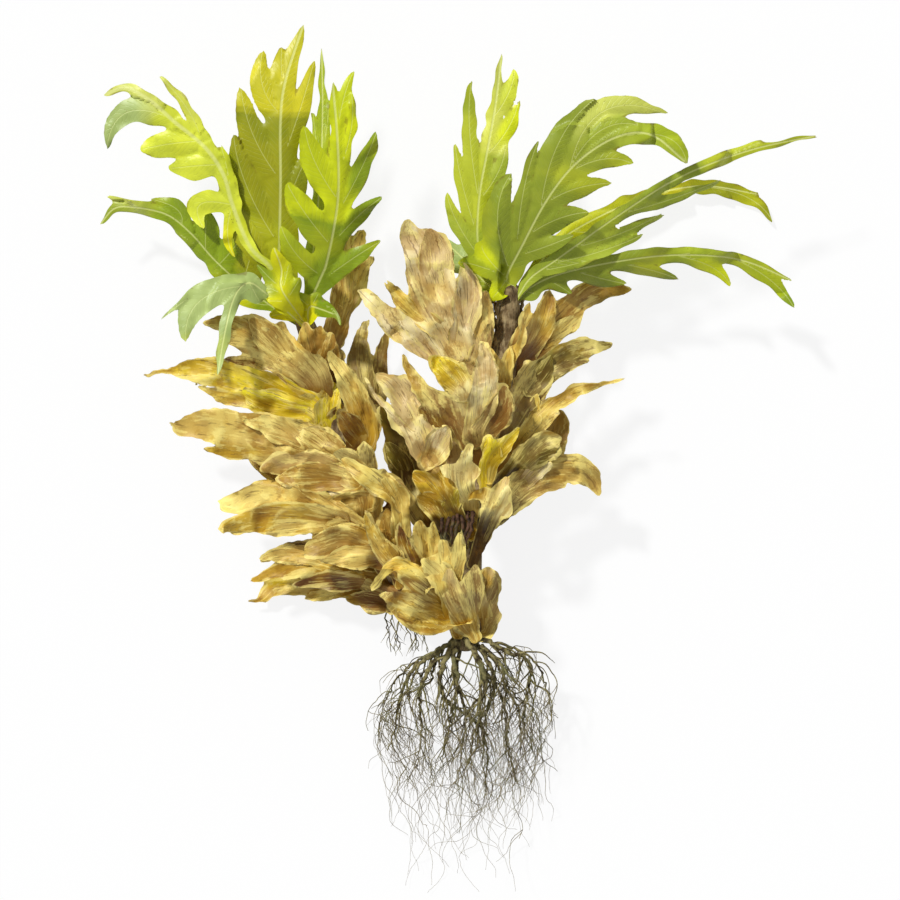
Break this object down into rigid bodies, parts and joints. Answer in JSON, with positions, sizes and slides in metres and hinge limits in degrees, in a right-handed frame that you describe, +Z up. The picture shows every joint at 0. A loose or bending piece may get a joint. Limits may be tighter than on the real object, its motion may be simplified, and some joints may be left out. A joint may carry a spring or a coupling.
{
  "type": "basket fern",
  "caption": "Bare-rooted basket fern: a forked rhizome clasped by papery brown shield fronds, with lobed green fronds at both tips and trailing roots.",
  "frame": {"origin": "centre of the bounding box's base, on the surface that the fern lies on", "axes": "+Y from the roots to the green fronds, +X across the two arms, +Z up, away from the surface"},
  "size_m": [0.724, 0.8741, 0.1669],
  "materials": {
    "leaf_green": "satin",
    "leaf_lime": "satin",
    "leaf_glaucous": "satin",
    "shield_tan": "matte",
    "shield_cream": "matte",
    "shield_gold": "matte",
    "bark": "matte",
    "root": "matte"
  },
  "bodies": {
    "root": {"foliage_back_01": "leaf_green", "foliage_back_02": "leaf_green", "foliage_back_03": "leaf_glaucous", "foliage_left_01": "leaf_green", "foliage_left_02": "leaf_lime", "foliage_left_03": "leaf_lime", "foliage_left_04": "leaf_lime", "foliage_left_05": "leaf_glaucous", "foliage_left_06": "leaf_lime", "foliage_left_07": "leaf_lime", "foliage_right_01": "leaf_green", "foliage_right_02": "leaf_green", "foliage_right_03": "leaf_lime", "foliage_right_04": "leaf_green", "rhizome": "bark", "root_01": "root", "root_02": "root", "root_03": "root", "root_04": "root", "root_05": "root", "root_06": "root", "root_07": "root", "root_08": "root", "root_09": "root", "shield_back_01": "shield_tan", "shield_back_02": "shield_tan", "shield_back_03": "shield_gold", "shield_back_04": "shield_tan", "shield_back_05": "shield_tan", "shield_back_06": "shield_tan", "shield_back_07": "shield_cream", "shield_crown_01": "shield_tan", "shield_crown_02": "shield_cream", "shield_crown_03": "shield_tan", "shield_crown_04": "shield_cream", "shield_left_01": "shield_tan", "shield_left_02": "shield_tan", "shield_left_03": "shield_tan", "shield_left_04": "shield_gold", "shield_left_05": "shield_tan", "shield_left_06": "shield_tan", "shield_left_07": "shield_tan", "shield_left_08": "shield_tan", "shield_left_09": "shield_cream", "shield_left_10": "shield_tan", "shield_left_11": "shield_tan", "shield_left_12": "shield_tan", "shield_right_01": "shield_tan", "shield_right_02": "shield_tan", "shield_right_03": "shield_tan", "shield_right_04": "shield_tan", "shield_right_05": "shield_gold", "shield_right_06": "shield_tan", "shield_right_07": "shield_cream", "shield_right_08": "shield_tan", "shield_right_09": "shield_gold", "shield_right_10": "shield_tan", "shield_right_11": "shield_cream", "shield_right_12": "shield_gold", "shield_right_13": "shield_cream"}
  },
  "joints": []
}
